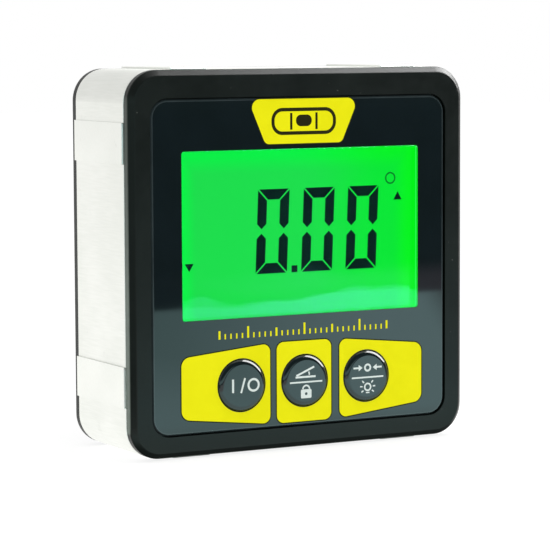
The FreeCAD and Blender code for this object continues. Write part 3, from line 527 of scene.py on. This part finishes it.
def printed(name, body, finish, face, loops, proud=0.02, sunk=0.005):
    """A thin plate of ink on a face. A loop inside another one is a hole in it."""
    curve = bpy.data.curves.new(name, "CURVE")
    curve.dimensions = "2D"
    curve.fill_mode = "BOTH"
    curve.extrude = (proud + sunk) / 2
    for loop in loops:
        spline = curve.splines.new("POLY")
        spline.points.add(len(loop) - 1)
        for point, (x, z) in zip(spline.points, loop):
            point.co = (x, z, 0, 1)
        spline.use_cyclic_u = True
    drawn = bpy.data.objects.new(name, curve)
    bpy.context.scene.collection.objects.link(drawn)
    mesh = bpy.data.meshes.new_from_object(drawn)
    bpy.data.objects.remove(drawn)
    level = face - (proud - sunk) / 2
    stand = Matrix.Translation((0, level, MIDDLE)) @ Matrix.Rotation(math.pi / 2, 4, "X")
    mesh.transform(Matrix.Scale(MM, 4) @ stand)
    mesh.materials.clear()
    mesh.materials.append(finish)
    piece = bpy.data.objects.new(name, mesh)
    bpy.context.scene.collection.objects.link(piece)
    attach(piece, body)
    return piece


# Print on the panel

KEYLINE = 0.17
CAP_CLEARANCE = 4.22

yellow = gloss("yellow_ink", screen(242, 238, 20), screen(236, 232, 16), 0.3, 0.05, 0.03)
dark = gloss("dark_ink", screen(38, 38, 16), screen(44, 44, 20), 0.3, 0.05, 0.05)
keyline = gloss("keyline_ink", screen(30, 34, 14), screen(40, 42, 20), 0.4, 0.05, 0.05)

BADGE = [(-9.4, 25.0), (10.3, 25.0), (7.2, 18.05), (-6.4, 18.05)]
BADGE_ROUNDS = (1.3, 1.3, 1.0, 1.0)
PANELS = {
    "power": ([(-21.2, -14.4), (-5.75, -12.95), (-5.75, -25.6), (-21.2, -23.9)], (1.5, 1.2, 1.2, 1.5)),
    "hold": ([(-4.58, -12.9), (5.2, -12.9), (5.2, -25.65), (-4.58, -25.65)], (1.2, 1.2, 1.2, 1.2)),
    "zero": ([(6.7, -12.95), (21.9, -14.5), (21.9, -23.9), (6.7, -25.6)], (1.2, 1.5, 1.5, 1.2)),
}

keylines = []
for corners, rounds in [(BADGE, BADGE_ROUNDS), *PANELS.values()]:
    outside = [radius + KEYLINE for radius in rounds]
    keylines += [rounded(grown(corners, KEYLINE), outside), rounded(corners, rounds)]
printed("print_keylines", "housing", keyline, PANEL_FACE, keylines)

printed("print_badge", "housing", yellow, PANEL_FACE, [rounded(BADGE, BADGE_ROUNDS)])
for name, (corners, rounds) in PANELS.items():
    hole = circle(*button_place(name), CAP_CLEARANCE, 96)
    printed(f"print_panel_{name}", "housing", yellow, PANEL_FACE, [rounded(corners, rounds), hole])

# The badge shows a spirit vial: its tube, its bubble and the two lines that the bubble lies between.
VIAL_X = 0.42
VIAL_Z = 21.5
vial = [
    rounded(block(VIAL_X - 5.75, VIAL_X + 5.75, VIAL_Z - 2.1, VIAL_Z + 2.1), [1.9] * 4),
    rounded(block(VIAL_X - 5.2, VIAL_X + 5.2, VIAL_Z - 1.55, VIAL_Z + 1.55), [1.35] * 4),
    rounded(block(VIAL_X - 1.4, VIAL_X + 1.4, VIAL_Z - 0.8, VIAL_Z + 1.0), [0.85] * 4),
]
for side in SIDES:
    x = VIAL_X + side * 2.25
    vial.append(block(x - 0.2, x + 0.2, VIAL_Z - 1.3, VIAL_Z + 1.3))
printed("print_vial", "housing", dark, PANEL_FACE - 0.015, vial, 0.015)

# A plain scale stands under the display, with longer lines at every fifth and tenth place.
scale = []
for place in range(-15, 16):
    x = 0.4 + place * 1.0
    height = 1.8 if place % 10 == 0 else 1.3 if place % 5 == 0 else 0.8
    width = 0.34 if place % 5 == 0 else 0.24
    scale.append(block(x - width / 2, x + width / 2, -11.85, -11.85 + height))
printed("print_scale", "housing", yellow, PANEL_FACE, scale)


# Marks on the buttons

legend = gloss("legend_ink", screen(226, 232, 228), screen(214, 221, 217), 0.12)


def mark_button(name, loops):
    x, z = button_place(name)
    moved = [[(x + across, z + up) for across, up in loop] for loop in loops]
    printed(f"mark_{name}", f"{name}_key", legend, BUTTON_FACE, moved, 0.01)


LINE = 0.3
mark_button("power", [
    stroke((-1.75, -1.05), (-1.75, 1.05), 0.36),
    stroke((-0.35, -1.15), (0.35, 1.15), LINE),
    *ring(1.85, 0, 0.9, 0.34),
])

divider = block(-2.9, 2.9, -0.32, -0.07)
slope = [
    stroke((-1.9, 0.62), (1.7, 0.62), LINE),
    stroke((-1.75, 0.85), (1.45, 2.15), LINE),
    bend(-1.9, 0.62, 2.5, 6, 19, 0.22),
]
lock = [
    rounded(block(-0.95, 0.95, -2.75, -1.35), [0.2] * 4),
    circle(0, -2.05, 0.24, 16),
    bend(0, -1.34, 0.6, 2, 178, 0.26),
]
mark_button("hold", [divider, *slope, *lock])


def arrow(tail, tip, z):
    """The outline of an arrow that lies level."""
    head = 0.7 if tip > tail else -0.7
    neck = tip - head
    return [(tail, z - 0.14), (neck, z - 0.14), (neck, z - 0.5), (tip, z),
            (neck, z + 0.5), (neck, z + 0.14), (tail, z + 0.14)]


def rays(x, z, start, end, angles):
    """Short lines that point away from a middle."""
    lines = []
    for angle in angles:
        away = Vector((math.cos(math.radians(angle)), math.sin(math.radians(angle))))
        middle = Vector((x, z))
        lines.append(stroke(middle + away * start, middle + away * end, 0.22))
    return lines


level = [*ring(0, 1.35, 0.5, LINE), arrow(-2.6, -0.95, 1.35), arrow(2.6, 0.95, 1.35)]
lamp = [
    *ring(0, -1.75, 0.55, 0.26),
    block(-0.32, 0.32, -2.75, -2.55),
    *rays(0, -1.75, 0.95, 1.4, (-35, 5, 45, 135, 175, 215)),
]
mark_button("zero", [divider, *level, *lamp])


# Marks on the display: a reading of zero, the sign for degrees and two small arrowheads

DIGIT_WIDTH = 5.56
DIGIT_HEIGHT = 13.17
DIGIT_FOOT = -2.07
SEGMENT = 1.62
MITRE_GAP = 0.17
WAIST_LOW = 4.2
WAIST_HIGH = 4.9
WAIST_TAPER = 0.8
SLANT = math.tan(math.radians(2.4))


def digit_zero(left):
    """The six lit segments of a nought, slanted to the right."""
    width, height, gap = DIGIT_WIDTH, DIGIT_HEIGHT, MITRE_GAP
    level = [(gap, 0), (width - gap, 0), (width - SEGMENT - gap, SEGMENT), (SEGMENT + gap, SEGMENT)]
    low = WAIST_LOW - DIGIT_FOOT
    high = WAIST_HIGH - DIGIT_FOOT
    lower = [
        (0, gap), (SEGMENT, SEGMENT + gap), (SEGMENT, low - WAIST_TAPER),
        (SEGMENT / 2, low), (0, low - WAIST_TAPER),
    ]
    upper = [
        (0, height - gap), (SEGMENT, height - SEGMENT - gap), (SEGMENT, high + WAIST_TAPER),
        (SEGMENT / 2, high), (0, high + WAIST_TAPER),
    ]
    segments = [level, [(x, height - z) for x, z in level]]
    for upright in (lower, upper):
        segments += [upright, [(width - x, z) for x, z in upright]]
    return [[(left + x + z * SLANT, DIGIT_FOOT + z) for x, z in segment] for segment in segments]


def seen_deeper(loops):
    """Loops as drawn at the panel's face, moved to where the display behind it shows them."""
    return [[(x + 0.85, z - 0.12) for x, z in loop] for loop in loops]


digit_ink = gloss("digit_film", screen(4, 32, 22), screen(6, 40, 26), 0.4, 0.05, 0.0)
faint_ink = gloss("faint_film", screen(6, 120, 34), screen(8, 128, 40), 0.4, 0.05, 0.0)

digits = [segment for left in (-8.33, -0.22, 7.8) for segment in digit_zero(left)]
digits.append(block(-1.93, -0.89, -2.07, -1.0))
arrowheads = [
    [(16.7, 8.7), (18.2, 8.7), (17.47, 10.0)],
    [(-20.6, 0.04), (-19.1, 0.04), (-19.85, -1.16)],
]
degree = ring(16.1, 12.18, 0.84, 0.22)
printed("display_digits", "housing", digit_ink, DISPLAY_FACE, seen_deeper(digits))
printed("display_arrowheads", "housing", digit_ink, DISPLAY_FACE, seen_deeper(arrowheads))
printed("display_degree", "housing", faint_ink, DISPLAY_FACE, seen_deeper(degree))


# Table, light and camera

# What the gloss of the panel shows of the table, in metres from the middle of the object's foot:
# the table's front edge, a strip beside it, the part that the panel mirrors, and the object's shade.
EDGE_START = Vector((0.074, -0.205))
EDGE_END = Vector((0.151, -0.212))
PANEL_DEPTH = 0.0106
MIRROR_SLOPE = 0.541
SHADE_ALONG = 0.0095


def table_finish():
    """The table. It shows white with the object's shadow. In gloss it glows as a painted reflection:
    bright zones, a painted shadow just in front of the object's foot and a dark wedge to its front
    left.
    """
    made = new_finish("white_table")
    across, along, up = made.parts(made.place())
    seen = made.node("ShaderNodeLightPath", {}, {}, "Is Glossy Ray")
    through = made.node("ShaderNodeLightPath", {}, {}, "Is Transmission Ray")

    edge_run = (EDGE_END - EDGE_START).normalized()
    beyond = (across - EDGE_START.x) * edge_run.y - (along - EDGE_START.y) * edge_run.x
    front = made.between(beyond, -0.003, 0.003)
    strip = made.between(across, 0.09, 0.14) * made.between(beyond, 0.025, 0.075, 1.0, 0.0)
    far = made.blend(strip, (0.09, 0.1, 0.11, 1), (0.45, 0.38, 0.45, 1))

    mirrored = across - (abs(along) - PANEL_DEPTH) * MIRROR_SLOPE
    from_left = made.between(mirrored, -0.04, 0.02)
    from_edge = made.between(along, -0.15, -0.04) * 0.7
    lighter = made.larger(from_left, from_edge)
    ahead = made.blend(lighter, (1.04, 1.63, 1.6, 1), (1.75, 2.6, 2.65, 1))
    close = made.blend(made.between(along, -0.045, -0.02), ahead, (1.35, 1.75, 1.7, 1))
    in_panel = made.between(abs(mirrored), 0.035, 0.05, 1.0, 0.0)
    zone = in_panel * made.between(along, -0.013, -0.009, 1.0, 0.0)
    right = made.between(across, 0.04, 0.09)
    plain = made.blend(right, (1.15, 1.15, 1.13, 1), (0.5, 0.5, 0.49, 1))
    near = made.blend(zone, plain, close)

    # Painted shadow in the gloss: a dark band just in front of the object's foot.
    shaded = made.between(abs(along + SHADE_ALONG), 0.0015, 0.003)
    lit = made.blend(shaded, (0.12, 0.13, 0.13, 1), near)
    slanted = made.between(along - across * 0.8, 0.0, 0.015)
    beside = slanted * made.between(along, -0.01, -0.03, 0.0, 1.0)
    corner = made.between(across, -0.05, -0.07, 0.0, 1.0) * beside
    shown = made.blend(corner, made.blend(front, lit, far), (0.12, 0.12, 0.12, 1))

    # Gloss and transmission rays see this emission, a painted reflection of a bright table.
    mirror = made.node("ShaderNodeEmission", {}, {"Color": shown, "Strength": 1.0})
    shade = made.node("ShaderNodeBsdfDiffuse", {}, {"Color": (0.3, 0.3, 0.3, 1)})
    glow = made.node("ShaderNodeEmission", {}, {"Color": (0.8, 0.8, 0.8, 1), "Strength": 1.0})
    pale = made.node("ShaderNodeAddShader", {}, {0: shade, 1: glow})
    either = made.larger(seen, through)
    surface = made.node("ShaderNodeMixShader", {}, {0: either, 1: pale, 2: mirror})
    made.node("ShaderNodeOutputMaterial", {}, {"Surface": surface})
    return made.owner


def make_table():
    half = 1.6
    mesh = bpy.data.meshes.new("table")
    corners = [(-half, -half, 0), (half, -half, 0), (half, half, 0), (-half, half, 0)]
    mesh.from_pydata(corners, [], [(0, 1, 2, 3)])
    mesh.materials.append(table_finish())
    table = bpy.data.objects.new("table", mesh)
    bpy.context.scene.collection.objects.link(table)


def make_surroundings():
    """A soft light from all round. Gloss shows it white at the sides and behind, dim in front."""
    world = bpy.data.worlds.new("studio")
    bpy.context.scene.world = world
    made = Finish(world)
    across, along, up = made.parts(made.node("ShaderNodeTexCoord", {}, {}, "Generated"))
    camera = made.node("ShaderNodeLightPath", {}, {}, "Is Camera Ray")
    glossy = made.node("ShaderNodeLightPath", {}, {}, "Is Glossy Ray")
    through = made.node("ShaderNodeLightPath", {}, {}, "Is Transmission Ray")
    side = made.between(along, -0.45, -0.1) * made.between(up, 0.55, 0.8, 1.0, 0.7)
    haze = made.between(up, 0.12, 0.28, 1.0, 0.0) * made.between(across, 0.38, 0.25, 0.0, 1.0)
    dark = made.blend(haze, (0.11, 0.13, 0.135, 1), (1.1, 1.6, 1.6, 1))
    open_side = made.blend(side, dark, (0.85, 0.85, 0.84, 1))
    screened = made.between(across * 0.876 + along * 0.474, 0.93, 0.97)
    shown = made.blend(screened, open_side, (0.45, 0.45, 0.45, 1))
    soft = (0.78, 0.79, 0.78, 1)
    light = made.blend(made.larger(glossy, through), soft, shown)
    colour = made.blend(camera, light, (1, 1, 1, 1))
    sky = made.node("ShaderNodeBackground", {}, {"Color": colour, "Strength": 1.0})
    made.node("ShaderNodeOutputWorld", {}, {"Surface": sky})


def make_softbox(name, direction, distance, size, power, glossy):
    """A square lamp that shows either in gloss alone or on dull surfaces alone."""
    lamp = bpy.data.lights.new(name, "AREA")
    lamp.shape = "SQUARE"
    lamp.size = size
    lamp.energy = power
    holder = bpy.data.objects.new(name, lamp)
    aim = Vector((0, 0, MIDDLE * MM))
    away = Vector(direction).normalized()
    holder.location = aim + away * distance
    holder.rotation_euler = away.to_track_quat("Z", "Y").to_euler()
    holder.visible_glossy = glossy
    holder.visible_diffuse = not glossy
    bpy.context.scene.collection.objects.link(holder)


def make_camera():
    data = bpy.data.cameras.new("camera")
    data.lens = 169.898
    data.sensor_width = 36.0
    data.clip_start = 0.01
    data.clip_end = 10.0
    camera = bpy.data.objects.new("camera", data)
    yaw = Matrix.Rotation(math.radians(-28.543), 4, "Z")
    pitch = Matrix.Rotation(math.radians(90 - 5.349), 4, "X")
    roll = Matrix.Rotation(math.radians(-0.254), 4, "Z")
    place = Matrix.Translation(Vector((-196.890, -363.732, 65.317)) * MM)
    camera.matrix_world = place @ yaw @ pitch @ roll
    bpy.context.scene.collection.objects.link(camera)
    bpy.context.scene.camera = camera


make_table()
make_surroundings()
make_softbox("side_softbox", (0.79, -0.12, 0.54), 1.2, 1.1, 62.0, True)
make_softbox("top_softbox", (0.3, -0.1, 0.95), 0.6, 0.44, 0.5, True)
make_softbox("shade_softbox", (0.5, -0.3, 0.8), 0.6, 0.5, 0.9, False)
make_camera()
bpy.context.scene.view_settings.view_transform = "Standard"
